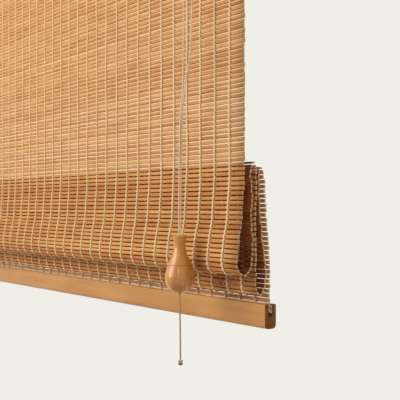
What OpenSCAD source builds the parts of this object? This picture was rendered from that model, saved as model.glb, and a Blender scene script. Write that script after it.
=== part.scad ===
// Woven bamboo roman blind, partly raised, so that it hangs in two folds
// All sizes are in millimetres: X runs along the head rail, Y to the rear, Z up
// The origin is the middle of the head rail's top face

/* [Woven sheet] */
// Width of the blind
blind_w = 700; // [560:1:1200]
// Height of one bamboo slat
slat_h = 3.6; // [3:0.1:4.5]
// Thickness of one bamboo slat
slat_t = 1.8; // [1.2:0.1:2]
// Open gap between two slats
slat_gap = 0.9; // [0.6:0.1:1.4]
// Bevel on the front edges of a slat
slat_bevel = 0.5; // [0.2:0.1:0.7]
// Distance between two warp lines
warp_pitch = 23.5; // [16:0.5:40]
// Width of a warp line
warp_w = 2.2; // [1:0.1:4]
// How far a warp line stands proud of the slats
warp_t = 0.7; // [0.4:0.1:1.2]
// Distance from the side edge to the outermost warp line
edge_margin = 21; // [10:1:30]

/* [Folds] */
// Drop of the flat front, from the head rail to the level of the top folds
front_drop = 300; // [200:1:600]
// Drop of the front loop below the top folds
front_loop = 103; // [90:1:125]
// Drop of the rear loop below the top folds
rear_loop = 123; // [100:1:126]
// Drop from the top folds to the bottom rail's top
last_drop = 131; // [130:1:200]

/* [Rails] */
// Height of the head rail
head_rail_h = 40; // [36:1:60]
// Depth of the head rail
head_rail_d = 24; // [20:1:26]
// Height of the bottom rail
bottom_rail_h = 23; // [18:1:40]
// Thickness of the bottom rail
bottom_rail_t = 13.2; // [11:0.2:18]
// Depth of the slot that grips the sheet
slot_d = 12; // [10:0.5:14]
// Rounding of the bottom rail's lower edges
rail_round = 4; // [1:0.5:5]
// Rounding of the other long edges of both rails
edge_round = 1.2; // [0.5:0.1:2]

/* [Tassel] */
// Height of the tassel
tassel_h = 54.2; // [40:0.2:80]
// Largest diameter of the tassel
tassel_d = 28.5; // [24:0.5:30]
// Diameter of the tassel's neck
tassel_neck_d = 11.2; // [9:0.2:14]
// Diameter of the tassel's rim
tassel_rim_d = 14; // [12:0.2:18]
// Diameter of the bore that the cords pass through
tassel_bore = 4.4; // [4:0.1:5.5]
// Distance from the blind's right edge to the tassel's axis
tassel_inset = 66; // [60:1:70]
// Distance from the sheet to the tassel's axis in front of it
tassel_front = 26.5; // [26:0.5:32]
// Drop from the origin to the tassel's top
tassel_drop = 407.6; // [300:0.2:500]

/* [Lift gear] */
// Diameter of every cord
cord_d = 1.6; // [1.2:0.1:1.8]
// Distance from a side edge to the lift line
lift_inset = 115; // [100:1:150]
// Radius at the root of the pulley's groove
groove_r = 6; // [5:0.5:7]
// Height of the groove's flanges
flange_h = 2.2; // [1.8:0.1:2.6]
// Width of a pulley wheel
wheel_w = 5; // [4:0.5:6]
// Diameter of a pulley's axle
axle_d = 3; // [2:0.5:4]
// Outer diameter of a lift ring
ring_d = 9; // [8:0.5:10]
// Thickness of a lift ring's wire
ring_wire = 1.4; // [1:0.1:1.6]
// Distance from the right edge to the middle of the cord lock
lock_inset = 51; // [48:1:54]
// Inner width of the cord lock
lock_w = 32; // [28:1:36]
// Radius of the cord lock's guide bar
guide_r = 5.2; // [4:0.2:6]

/* [Brackets] */
// Width of a mounting bracket
bracket_w = 20; // [14:1:24]
// Length of the bracket's top leg behind the head rail
bracket_l = 44; // [40:1:60]
// Height of the leg on the head rail
bracket_h = 30; // [24:1:34]
// Thickness of the bracket's steel
bracket_t = 2; // [1.5:0.1:3]
// Diameter of the fixing holes
fixing_d = 5; // [4:0.5:6]
// Distance between the two fixing holes of a bracket
fixing_pitch = 24; // [16:1:26]
// Distance from a side edge to the middle of its bracket
bracket_inset = 25; // [15:1:26]

/* [Hidden] */
$fn = 48;

// Colours
bamboo = "#c8965f";
warp_thread = "#ebc896";
rail_wood = "#c38c55";
tassel_wood = "#be823c";
cord_cotton = "#cdb9a5";
steel = "#b4b6b8";
brass = "#c4a355";
wheel_nylon = "#e8e4da";

// Clearances
running_gap = 0.05;
seat_gap = 0.02;
cord_gap = 0.3;
wheel_gap = 0.5;
warp_gap = 0.2;
bend_gap = 0.4;
layer_gap = 0.7;
slot_gap = 0.6;

// Sheet
pitch = slat_h + slat_gap;
web_t = 0.6;
layer_step = slat_t + layer_gap;
slot_w = 2 * slat_t + layer_gap + 2 * slot_gap;
slot_grip = slot_d - 1;
right_edge = blind_w / 2;
warp_run = floor((blind_w - 2 * edge_margin) / warp_pitch);
warp_x = [for (i = [0 : warp_run]) (i - warp_run / 2) * warp_pitch];
fold_z = -(head_rail_h + front_drop);
last_y = 29.4;

// Folded section of the sheet, as [y, share of the drop below the top folds]
front_bottom = 8;
front_shape = [
    [0, 0], [-0.6, 0.2], [-1.8, 0.36], [-3.2, 0.54], [-6, 0.67], [-8.2, 0.83], [-8.4, 0.9],
    [-5.6, 0.972], [0.4, 1], [6, 0.97], [8.8, 0.92], [9.8, 0.85], [10.3, 0.74], [9.9, 0.65],
    [8.8, 0.57], [8.2, 0.48], [9.2, 0.37], [9, 0.24], [7.8, 0.13], [8.3, 0.05], [11, 0]
];
rear_shape = [
    [13.8, 0.05], [14.1, 0.16], [13.7, 0.31], [13.3, 0.45], [13.3, 0.65], [13.7, 0.8],
    [13.4, 0.9], [14.8, 0.968], [18.8, 1], [22.8, 0.966], [24.8, 0.9], [25.3, 0.8],
    [23.6, 0.72], [22, 0.62], [20.6, 0.52], [18.8, 0.38], [17.6, 0.27], [17.3, 0.16],
    [17.2, 0.08], [19.6, 0.04]
];
last_shape = [
    [22.6, 0.09], [24.4, 0.22], [25.5, 0.35], [26.6, 0.48], [28.2, 0.6], [29.2, 0.7],
    [last_y, 0.85], [last_y, 1]
];
flat_steps = 9;
flat_path = concat([[0, slot_grip - head_rail_h]],
    [for (i = [0 : flat_steps]) [0, -head_rail_h - 0.9 * front_drop * i / flat_steps]]);
sheet_path = concat(
    flat_path,
    [for (p = front_shape) [p[0], fold_z - p[1] * front_loop]],
    [for (p = rear_shape) [p[0], fold_z - p[1] * rear_loop]],
    [for (p = last_shape) [p[0], fold_z - p[1] * last_drop]],
    [[last_y, fold_z - last_drop - slot_grip]]
);

// Smooth curve through the sheet's points, measured along its length
path_steps = 8;
function point_at(list, i) = list[max(0, min(len(list) - 1, i))];
function smooth(a, b, c, d, t) =
    0.5 * (2 * b + (c - a) * t + (2 * a - 5 * b + 4 * c - d) * t ^ 2 + (3 * b - a - 3 * c + d) * t ^ 3);
curve = [
    for (i = [0 : len(sheet_path) - 2], k = [0 : path_steps - 1])
        smooth(point_at(sheet_path, i - 1), sheet_path[i], sheet_path[i + 1],
            point_at(sheet_path, i + 2), k / path_steps),
    sheet_path[len(sheet_path) - 1]
];
run = [for (i = 0, s = 0; i < len(curve); i = i + 1, s = s + norm(point_at(curve, i) - curve[i - 1])) s];
run_y = [for (i = [0 : len(curve) - 1]) [run[i], curve[i][0]]];
run_z = [for (i = [0 : len(curve) - 1]) [run[i], curve[i][1]]];
function on_sheet(s) = [lookup(s, run_y), lookup(s, run_z)];
function unit(v) = v / norm(v);
function sheet_dir(s) = unit(on_sheet(s + slat_h / 2) - on_sheet(s - slat_h / 2));

// Slats are spaced evenly between the rails and the two top folds, with one slat on each fold
front_fold_run = run[(len(flat_path) + len(front_shape) - 1) * path_steps];
rear_fold_run = run[(len(flat_path) + len(front_shape) + len(rear_shape) - 1) * path_steps];
loop_run = run[(len(flat_path) + front_bottom) * path_steps];
end_run = run[len(run) - 1];
front_slats = round(front_fold_run / pitch);
rear_slats = round((rear_fold_run - front_fold_run) / pitch);
last_slats = round((end_run - rear_fold_run) / pitch);
slat_runs = [
    for (i = [0 : front_slats - 1]) (i + 0.5) * front_fold_run / (front_slats + 0.5),
    for (i = [0 : rear_slats - 1]) front_fold_run + i * (rear_fold_run - front_fold_run) / rear_slats,
    for (i = [0 : last_slats - 1]) rear_fold_run + i * (end_run - rear_fold_run) / (last_slats + 0.2)
];
front_runs = [for (s = slat_runs) if (s < loop_run + 2.6 * pitch) s];
return_runs = [for (s = slat_runs) if (s >= loop_run + 2.6 * pitch && s < front_fold_run - 0.5 * pitch) s];
rear_runs = [for (s = slat_runs) if (s >= front_fold_run - 0.5 * pitch) s];
function every(list, step) = [for (i = [0 : step : len(list) - 1]) list[i]];
gentle_runs = [for (s = front_runs) let (z = on_sheet(s)[1])
    if (z < fold_z + 0.1 * front_drop && z > fold_z - 0.5 * front_loop && s < loop_run) s];
bend_runs = [for (s = front_runs) if (s > gentle_runs[len(gentle_runs) - 1]) s];
front_warp_runs = concat([slot_grip + seat_gap], every(gentle_runs, 3), bend_runs);
last_runs = [for (s = rear_runs) if (s > rear_fold_run + 2.5 * pitch && s < end_run - slot_d) s];
rear_warp_runs = concat([last_runs[0] - pitch], every(last_runs, 3));
// Room under a warp line, larger round the tight bend of the front loop
function warp_room(s) = slat_t / 2 + warp_gap + (abs(s - loop_run) < 5 * pitch ? bend_gap : 0);

// Lift gear
lift_x = right_edge - lift_inset;
plate_t = 1.2;
lift_y = head_rail_d / 2 + plate_t + wheel_gap + wheel_w / 2;
wheel_path_r = groove_r + cord_d / 2 + cord_gap;
pulley_drop = [14, 28];
pulley_x = [wheel_path_r - lift_x, wheel_path_r + lift_x];
outer_plate_y = lift_y + wheel_w / 2 + wheel_gap;
post_x = groove_r + flange_h + 2;
post_w = 3.5;
screw_x = [-(groove_r + 7), post_x + post_w + 5];
ring_r = (ring_d - ring_wire) / 2;
ring_lift = slat_t / 2 + ring_wire / 2 + 0.1;
rear_fold_z = fold_z - 0.04 * rear_loop;

// Cord lock
lock_x = right_edge - lock_inset;
cord_hole_x = [lock_x - 8, lock_x + 8];
cord_hole_z = -7.2;
cord_hole_r = 3.3;
eyelet_r = 2.4;
eyelet_bend = 4;
guide_path_r = guide_r + cord_d / 2 + cord_gap;
guide_y = guide_path_r - tassel_front;
guide_z = cord_hole_z - guide_path_r;
cam_y = -tassel_front - 8.5;
cam_z = guide_z - 11.5;
lock_plate_t = 2;
lock_base_t = 1.5;
cam_pin_d = 3;
guide_end_d = 4;

// Tassel
tassel_x = right_edge - tassel_inset;
tassel_bottom = -tassel_drop - tassel_h;
recess_r = 4.9;
recess_h = 12;
knot_r = 4.2;
knot_z = tassel_bottom + recess_h - sqrt(knot_r ^ 2 - (tassel_bore / 2) ^ 2) - seat_gap * 5;

// Routes of the hanging cords
left_pull_route = [
    [291, -26.5, -13.5], [291, -26.5, -40], [290.8, -26.5, -100], [290.5, -26.5, -170],
    [290.2, -26.5, -230], [290, -26.5, -254], [288.8, -26.6, -268], [287, -26.9, -282],
    [285.6, -27.1, -300], [284.6, -27.2, -330], [283.8, -27.2, -370], [283.5, -27.2, -408],
    [283.5, -27.2, -449]
];
right_pull_route = [
    [307, -26.5, -13.5], [307, -26.5, -40], [306.8, -26.5, -100], [305.6, -26.5, -160],
    [303.8, -26.5, -205], [301.6, -26.4, -234], [299, -26.2, -246], [295.4, -26, -256],
    [292, -25.6, -264], [289.6, -25.4, -274], [287.6, -25.5, -286], [286, -25.7, -304],
    [285.2, -25.8, -330], [284.6, -25.8, -370], [284.5, -25.8, -408], [284.5, -25.8, -449]
];
tail_route = [
    [284, -26.5, -458], [284, -26.5, -470], [284.4, -26.5, -490], [284.8, -26.4, -510], [284.8, -26.3, -526]
];
tail_knot_r = 2.6;

// A profile drawn in Y and Z, extruded along X
module along_x(w) rotate([90, 0, 90]) linear_extrude(w, center = true) children();

// A cylinder along Y, from one Y to another
module along_y(x, z, y_from, y_to, r)
    translate([x, y_from, z]) rotate([-90, 0, 0]) cylinder(r = r, h = y_to - y_from);

// A wood screw whose head bears on a face and whose shank points along its own -Z
module screw(shank_r, head_r, length) {
    rotate_extrude()
        polygon([[0, -length], [shank_r * 0.4, -length], [shank_r, 1.5 - length], [shank_r, 0],
            [head_r, 0], [head_r, head_r * 0.35], [head_r * 0.7, head_r * 0.7], [0, head_r * 0.8]]);
}

// A round cord swept along its route with turning-free frames
cord_sides = 8;
function route_dir(p, i) = unit(point_at(p, i + 1) - point_at(p, i - 1));
function turned(n, d) = unit(n - d * (n * d));
function first_side(d) = turned(abs(d[1]) < 0.9 ? [0, 1, 0] : [1, 0, 0], d);
function route_sides(p) = [
    for (i = 0, n = first_side(route_dir(p, 0)); i < len(p); i = i + 1, n = turned(n, route_dir(p, i))) n
];
module cord(p) {
    sides = route_sides(p);
    last = len(p) - 1;
    points = [
        for (i = [0 : last], k = [0 : cord_sides - 1])
            let (a = 360 * k / cord_sides, n = sides[i], b = cross(route_dir(p, i), n))
                p[i] + cord_d / 2 * (n * cos(a) + b * sin(a))
    ];
    walls = [
        for (i = [0 : last - 1], k = [0 : cord_sides - 1])
            let (j = (k + 1) % cord_sides, r = i * cord_sides)
                [r + k, r + cord_sides + k, r + cord_sides + j, r + j]
    ];
    caps = [[for (k = [0 : cord_sides - 1]) k], [for (k = [cord_sides - 1 : -1 : 0]) last * cord_sides + k]];
    color(cord_cotton) polyhedron(points, concat(walls, caps));
}

// Section of one slat: its front edges are bevelled
function slat_section(c, d) = let (f = [d[1], -d[0]], h = slat_h / 2, t = slat_t / 2, b = slat_bevel) [
    c - d * h - f * t, c + d * h - f * t, c + d * h + f * (t - b),
    c + d * (h - b) + f * t, c - d * (h - b) + f * t, c - d * h + f * (t - b)
];

// A point off the sheet's middle, towards its front
function off_sheet(s, d) = on_sheet(s) + d * [sheet_dir(s)[1], -sheet_dir(s)[0]];

// A band that follows the sheet, between two offsets at each run
function sheet_band(runs, near, far) = concat(
    [for (i = [0 : len(runs) - 1]) off_sheet(runs[i], far[i])],
    [for (i = [len(runs) - 1 : -1 : 0]) off_sheet(runs[i], near[i])]
);
function each_run(runs, d) = [for (s = runs) d];

// Slats on a stretch of the sheet, held together by a thin web under both outermost warp lines
module woven_stretch(runs) {
    along_x(blind_w)
        for (s = runs)
            polygon(slat_section(on_sheet(s), sheet_dir(s)));
    for (x = [warp_x[0], warp_x[warp_run]])
        translate([x, 0, 0])
            along_x(warp_w)
                polygon(sheet_band(runs, each_run(runs, -web_t / 2), each_run(runs, web_t / 2)));
}

// The sheet's end folded back on itself inside a rail's slot
module folded_end(y, z, way) {
    along_x(blind_w)
        for (i = [0, 1])
            polygon(slat_section([y + layer_step, z + way * i * pitch], [0, -1]));
    for (x = [warp_x[0], warp_x[warp_run]])
        translate([x, 0, 0])
            along_x(warp_w) {
                translate([y, z - web_t / 2]) square([layer_step, web_t]);
                translate([y + layer_step - web_t / 2, min(z, z + way * pitch)]) square([web_t, pitch]);
            }
}

// Warp lines on a stretch of the sheet, on its front (side 1) or its back (side -1)
module warp_lines(runs, side) {
    near = [for (s = runs) side * warp_room(s)];
    far = [for (s = runs) side * (warp_room(s) + warp_t)];
    for (x = warp_x)
        translate([x, 0, 0])
            along_x(warp_w)
                polygon(sheet_band(runs, near, far));
}

// Section of a rail, with its top at zero and its four long edges rounded
module rail_section(t, h, top_r, low_r) {
    translate([-t / 2, low_r - h]) square([t, h - low_r - top_r]);
    translate([top_r - t / 2, -h / 2]) square([t - 2 * top_r, h / 2]);
    translate([low_r - t / 2, -h]) square([t - 2 * low_r, h / 2]);
    for (side = [-1, 1]) {
        translate([side * (t / 2 - top_r), -top_r]) circle(top_r);
        translate([side * (t / 2 - low_r), low_r - h]) circle(low_r);
    }
}

module head_rail() {
    slot_y = layer_step / 2;
    color(rail_wood)
        difference() {
            along_x(blind_w)
                difference() {
                    rail_section(head_rail_d, head_rail_h, edge_round, edge_round);
                    translate([slot_y - slot_w / 2, -head_rail_h - 1]) square([slot_w, slot_d + 1]);
                }
            for (x = cord_hole_x)
                along_y(x, cord_hole_z, -head_rail_d, head_rail_d, cord_hole_r);
            for (p = screw_places())
                translate(p[0])
                    rotate(p[1])
                        translate([0, 0, -p[2] - 1]) cylinder(r = p[3] + seat_gap, h = p[2] + 2);
        }
}

// Screws into the head rail: place of the head's seat, turn, length and shank radius
// Each kind of screw is [length, shank radius, head radius]
bracket_screw = [14, 1.8, 3.6];
pulley_screw = [10, 1.3, 2.5];
lock_screw = [10, 1.3, 2.4];
bracket_screw_drop = [0.45 * bracket_h, 0.8 * bracket_h];
lock_screw_drop = [9, 18];
function bracket_screw_places() = [
    for (side = [-1, 1], drop = bracket_screw_drop)
        [[side * (right_edge - bracket_inset), head_rail_d / 2 + bracket_t, -drop], [-90, 0, 0],
            bracket_screw[0], bracket_screw[1]]
];
function pulley_screw_places() = [
    for (i = [0, 1], x = screw_x)
        [[pulley_x[i] + x, head_rail_d / 2 + plate_t, -pulley_drop[i]], [-90, 0, 0],
            pulley_screw[0], pulley_screw[1]]
];
function lock_screw_places() = [
    for (drop = lock_screw_drop)
        [[lock_x, -head_rail_d / 2 - lock_base_t, guide_z - drop], [90, 0, 0], lock_screw[0], lock_screw[1]]
];
function screw_places() = concat(bracket_screw_places(), pulley_screw_places(), lock_screw_places());
module screws(places, head_r) {
    color(steel)
        for (p = places)
            translate(p[0]) rotate(p[1]) screw(p[3], head_r, p[2]);
}

// Folded steel bracket: one leg on the head rail's rear face, one leg level with its top
module bracket(x) {
    fold_r = bracket_t + 1;
    rear = head_rail_d / 2;
    fixing_y = rear + bracket_t + (bracket_l - bracket_t) / 2;
    color(steel)
        difference() {
            translate([x, 0, 0])
                along_x(bracket_w) {
                    translate([rear, -bracket_h]) square([bracket_t, bracket_h - fold_r]);
                    translate([rear + fold_r, -bracket_t]) square([bracket_l - fold_r, bracket_t]);
                    translate([rear + fold_r, -fold_r])
                        intersection() {
                            difference() {
                                circle(fold_r);
                                circle(fold_r - bracket_t);
                            }
                            translate([-fold_r, 0]) square(fold_r);
                        }
                }
            for (side = [-1, 1])
                translate([x, fixing_y + side * fixing_pitch / 2, -bracket_t - 1])
                    cylinder(d = fixing_d, h = bracket_t + 2);
            for (p = bracket_screw_places())
                along_y(p[0][0], p[0][2], 0, rear + bracket_l, p[3] + seat_gap);
        }
}
module left_bracket() bracket(bracket_inset - right_edge);
module right_bracket() bracket(right_edge - bracket_inset);
module bracket_screws() screws(bracket_screw_places(), bracket_screw[2]);

// A flat plate in X and Z with round ends
module round_plate(x_from, x_to, r, y_from, t) {
    along_y(x_from, 0, y_from, y_from + t, r);
    along_y(x_to, 0, y_from, y_from + t, r);
    translate([x_from, y_from, -r]) cube([x_to - x_from, t, 2 * r]);
}

// Pulley housing: a screwed base plate, an outer plate and the post between them
module pulley_housing(i) {
    rear = head_rail_d / 2;
    base_r = groove_r + flange_h + 0.5;
    outer_r = axle_d / 2 + 3.5;
    color(steel)
        translate([pulley_x[i], 0, -pulley_drop[i]])
            difference() {
                union() {
                    round_plate(screw_x[0], screw_x[1], base_r, rear, plate_t);
                    round_plate(0, post_x + post_w / 2, outer_r, outer_plate_y, plate_t);
                    translate([post_x, rear + plate_t / 2, -outer_r + 1])
                        cube([post_w, outer_plate_y - rear, 2 * outer_r - 2]);
                }
                along_y(0, 0, 0, outer_plate_y + 10, axle_d / 2 + seat_gap);
                for (x = screw_x)
                    along_y(x, 0, 0, outer_plate_y + 10, pulley_screw[1] + seat_gap);
            }
}
module left_pulley_housing() pulley_housing(0);
module right_pulley_housing() pulley_housing(1);
module pulley_screws() screws(pulley_screw_places(), pulley_screw[2]);

// Grooved wheel that the lift cord turns over
module pulley_wheel(i) {
    bore_r = axle_d / 2 + running_gap;
    rim_r = groove_r + flange_h;
    root_w = cord_d / 2 + 0.1;
    side = wheel_w / 2;
    color(wheel_nylon)
        translate([pulley_x[i], lift_y, -pulley_drop[i]])
            rotate([-90, 0, 0])
                rotate_extrude()
                    polygon([[bore_r, -side], [rim_r, -side], [rim_r, 0.8 - side], [groove_r, -root_w],
                        [groove_r, root_w], [rim_r, side - 0.8], [rim_r, side], [bore_r, side]]);
}
module left_pulley_wheel() pulley_wheel(0);
module right_pulley_wheel() pulley_wheel(1);

// Riveted axle, with its head outside the outer plate
module pulley_axle(i) {
    rear = head_rail_d / 2;
    head_y = outer_plate_y + plate_t;
    color(steel)
        translate([pulley_x[i], 0, -pulley_drop[i]]) {
            along_y(0, 0, rear, head_y, axle_d / 2);
            along_y(0, 0, head_y, head_y + 1, axle_d / 2 + 1);
        }
}
module left_pulley_axle() pulley_axle(0);
module right_pulley_axle() pulley_axle(1);

// Eyelets that line the cord holes at the rear of the head rail
module cord_eyelets() {
    rear = head_rail_d / 2;
    eyelet_l = 7;
    outer_r = cord_hole_r - seat_gap;
    color(brass)
        for (x = cord_hole_x)
            translate([x, rear, cord_hole_z])
                rotate([-90, 0, 0])
                    rotate_extrude()
                        polygon([
                            [eyelet_r, -eyelet_l], [outer_r, -eyelet_l], [outer_r, 0], [outer_r + 1.8, 0],
                            [outer_r + 1.8, 0.5], [outer_r + 1.2, 1], [eyelet_r + 0.6, 1], [eyelet_r, 0.4]
                        ]);
}

// Cord lock: a base plate on the head rail and two cheeks that carry the guide bar and the cam
module cord_lock_body() {
    front = -head_rail_d / 2;
    nose = cam_y - 5;
    low = cam_z - 7;
    color(steel)
        difference() {
            union() {
                translate([lock_x - lock_w / 2 - 5, front - lock_base_t, low - 2])
                    cube([lock_w + 10, lock_base_t, -low - 1]);
                for (side = [-1, 1])
                    translate([lock_x + side * (lock_w + lock_plate_t) / 2, 0, 0])
                        along_x(lock_plate_t)
                            polygon([
                                [front - lock_base_t / 2, cord_hole_z + 4], [guide_y, cord_hole_z + 4],
                                [nose, cam_z + 4], [nose, cam_z - 3], [cam_y, low],
                                [front - lock_base_t / 2, low]
                            ]);
            }
            for (x = cord_hole_x)
                along_y(x, cord_hole_z, front - 5, front + 5, cord_hole_r);
            for (p = lock_screw_places())
                along_y(p[0][0], p[0][2], front - 5, front + 5, lock_screw[1] + seat_gap);
            translate([lock_x, cam_y, cam_z]) rotate([0, 90, 0])
                cylinder(d = cam_pin_d + 2 * seat_gap, h = lock_w + 20, center = true);
            translate([lock_x, guide_y, guide_z]) rotate([0, 90, 0])
                cylinder(d = guide_end_d + 2 * seat_gap, h = lock_w + 20, center = true);
        }
}
module cord_lock_guide() {
    shoulder_l = lock_w - 1;
    color(steel)
        translate([lock_x, guide_y, guide_z])
            rotate([0, 90, 0]) {
                cylinder(r = guide_r, h = shoulder_l, center = true);
                cylinder(d = guide_end_d, h = lock_w + 2 * lock_plate_t, center = true);
            }
}
module cord_lock_pin() {
    pin_l = lock_w + 2 * lock_plate_t;
    color(steel)
        translate([lock_x, cam_y, cam_z])
            rotate([0, 90, 0]) {
                cylinder(d = cam_pin_d, h = pin_l, center = true);
                for (side = [-1, 1])
                    translate([0, 0, side * (pin_l + 1) / 2])
                        cylinder(d = cam_pin_d + 2, h = 1, center = true);
            }
}

// Toothed cam that pinches the cords against the guide bar
module cord_lock_cam() {
    hub_r = cam_pin_d / 2 + 2;
    face = -tassel_front - cord_d / 2 - cord_gap - cam_y;
    tooth = 2;
    teeth = 4;
    face_low = 4;
    face_top = face_low + tooth * teeth;
    color(brass)
        translate([lock_x, cam_y, cam_z])
            along_x(lock_w - 1)
                difference() {
                    union() {
                        circle(hub_r);
                        polygon(concat(
                            [[-hub_r * 0.8, hub_r * 0.5], [hub_r * 0.6, -hub_r * 0.7]],
                            [[face - 0.9, face_low]],
                            [for (i = [0 : teeth - 1], k = [0, 1])
                                [face - 0.8 * (1 - k), face_low + (i + 0.5 + 0.5 * k) * tooth]],
                            [[face - 2, face_top + 0.8], [face - 4, face_top + 0.4]]
                        ));
                    }
                    circle(cam_pin_d / 2 + running_gap);
                }
}
module cord_lock_screws() screws(lock_screw_places(), lock_screw[2]);

// Flat front of the blind, from the head rail's slot down and round the front loop
module front_panel() {
    color(bamboo) {
        woven_stretch(front_runs);
        folded_end(0, on_sheet(front_runs[0])[1], -1);
    }
}
module front_warps() color(warp_thread) warp_lines(front_warp_runs, 1);

// Rear of the front loop, up to the first top fold
module fold_return() color(bamboo) woven_stretch(return_runs);

// First top fold, rear loop, second top fold and the last length down into the bottom rail
module rear_folds() {
    color(bamboo) {
        woven_stretch(rear_runs);
        folded_end(last_y, on_sheet(rear_runs[len(rear_runs) - 1])[1], 1);
    }
}
module rear_warps() color(warp_thread) warp_lines(rear_warp_runs, -1);

module bottom_rail() {
    color(rail_wood)
        translate([0, last_y + layer_step / 2, fold_z - last_drop])
            along_x(blind_w)
                difference() {
                    rail_section(bottom_rail_t, bottom_rail_h, edge_round, rail_round);
                    translate([-slot_w / 2, -slot_d]) square([slot_w, slot_d + 1]);
                }
}

// A ring lying flat, so that the lift cord passes through it
module lift_ring(y, z) {
    for (x = [-lift_x, lift_x])
        translate([x, y, z]) rotate_extrude() translate([ring_r, 0]) circle(d = ring_wire);
}
front_ring_y = lift_y - 1.2;
tied_ring_y = lift_y + ring_r;
tied_ring_z = rear_fold_z + ring_lift + 0.6;
module lift_rings() {
    color(brass) {
        lift_ring(front_ring_y, fold_z + ring_lift);
        lift_ring(tied_ring_y, tied_ring_z);
    }
}

// Knots that tie the lift cords to the lower rings
lift_knot_r = 1.6;
lift_knot_z = tied_ring_z + ring_wire / 2 + lift_knot_r + seat_gap;
module lift_knots() {
    color(cord_cotton)
        for (x = [-lift_x, lift_x])
            translate([x, lift_y, lift_knot_z]) sphere(lift_knot_r);
}

// Cords held by the lift gear: up to the pulley, over it, along the rail and out over the guide bar
function lift_route(i) = [
    [[-lift_x, lift_x][i], lift_y, lift_knot_z + lift_knot_r + seat_gap],
    [[-lift_x, lift_x][i], lift_y, (lift_knot_z - pulley_drop[i]) / 2],
    [[-lift_x, lift_x][i], lift_y, -pulley_drop[i]]
];
turn_steps = 4;
function head_route(i) =
    let (x_end = cord_hole_x[i] - eyelet_bend,
        rise = atan2(cord_hole_z + pulley_drop[i] - wheel_path_r, x_end - pulley_x[i])) concat(
    [for (k = [0 : turn_steps]) let (a = 180 - (90 - rise) * k / turn_steps)
        [pulley_x[i] + wheel_path_r * cos(a), lift_y, wheel_path_r * sin(a) - pulley_drop[i]]],
    [for (k = [0 : turn_steps]) let (a = 90 - 90 * k / turn_steps)
        [x_end + eyelet_bend * cos(a), lift_y - eyelet_bend * (1 - sin(a)), cord_hole_z]],
    [for (k = [0 : turn_steps]) let (a = 90 + 90 * k / turn_steps)
        [cord_hole_x[i], guide_y + guide_path_r * cos(a), guide_z + guide_path_r * sin(a)]]
);
module left_lift_cord() cord(lift_route(0));
module right_lift_cord() cord(lift_route(1));
module left_head_cord() cord(head_route(0));
module right_head_cord() cord(head_route(1));
module left_pull_cord() cord(left_pull_route);
module right_pull_cord() cord(right_pull_route);

// Turned wooden tassel, as [radius, height share] from its rim to its foot
module tassel() {
    rim = tassel_rim_d / 2;
    neck = tassel_neck_d / 2;
    belly = tassel_d / 2;
    swell = belly - neck;
    shoulder = neck + 0.69 * swell;
    foot = recess_r + 1.3;
    bore = tassel_bore / 2;
    groove = 0.6;
    turned_line = [
        [rim, 0.985], [rim - 0.5, 0.95], [neck + 0.3, 0.89], [neck, 0.82], [neck + 0.05 * swell, 0.74],
        [neck + 0.2 * swell, 0.65], [neck + 0.49 * swell, 0.56], [shoulder, 0.48],
        [belly - 0.16 * swell, 0.4], [belly - 0.05 * swell, 0.32], [belly, 0.24],
        [belly - 0.09 * swell, 0.165], [belly - 0.3 * swell, 0.1], [belly - 0.57 * swell, 0.05],
        [foot + 1, 0.015]
    ];
    steps = 4;
    flank = [
        for (i = [0 : len(turned_line) - 2], k = [0 : steps - 1])
            smooth(point_at(turned_line, i - 1), turned_line[i], turned_line[i + 1],
                point_at(turned_line, i + 2), k / steps),
        turned_line[len(turned_line) - 1]
    ];
    groove_z = 0.475 * tassel_h;
    color(tassel_wood)
        translate([tassel_x, -tassel_front, tassel_bottom])
            difference() {
                rotate_extrude()
                    polygon(concat(
                        [[bore + 0.8, tassel_h], [rim - 0.8, tassel_h]],
                        [for (p = flank) [p[0], p[1] * tassel_h]],
                        [[foot, 0], [recess_r, 0], [recess_r, recess_h]],
                        [[bore, recess_h], [bore, tassel_h - 0.8]]
                    ));
                translate([0, 0, groove_z])
                    rotate_extrude()
                        translate([shoulder + 0.1, 0]) circle(groove, $fn = 16);
            }
}

module tassel_knot() {
    color(cord_cotton)
        translate([tassel_x, -tassel_front, knot_z]) sphere(knot_r);
}
module tail_cord() cord(tail_route);
module tail_knot() {
    tail_end = tail_route[len(tail_route) - 1];
    color(cord_cotton)
        translate(tail_end - [0, 0, tail_knot_r + seat_gap]) sphere(tail_knot_r);
}

head_rail();
left_bracket();
right_bracket();
bracket_screws();
left_pulley_housing();
right_pulley_housing();
left_pulley_wheel();
right_pulley_wheel();
left_pulley_axle();
right_pulley_axle();
pulley_screws();
cord_eyelets();
cord_lock_body();
cord_lock_guide();
cord_lock_cam();
cord_lock_pin();
cord_lock_screws();
front_panel();
front_warps();
fold_return();
rear_folds();
rear_warps();
bottom_rail();
lift_rings();
lift_knots();
left_lift_cord();
right_lift_cord();
left_head_cord();
right_head_cord();
left_pull_cord();
right_pull_cord();
tassel();
tassel_knot();
tail_cord();
tail_knot();
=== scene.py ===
"""Looks of the bamboo roman blind: woven slats, twined warps, cords, rails and tassel."""
import math

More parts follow.
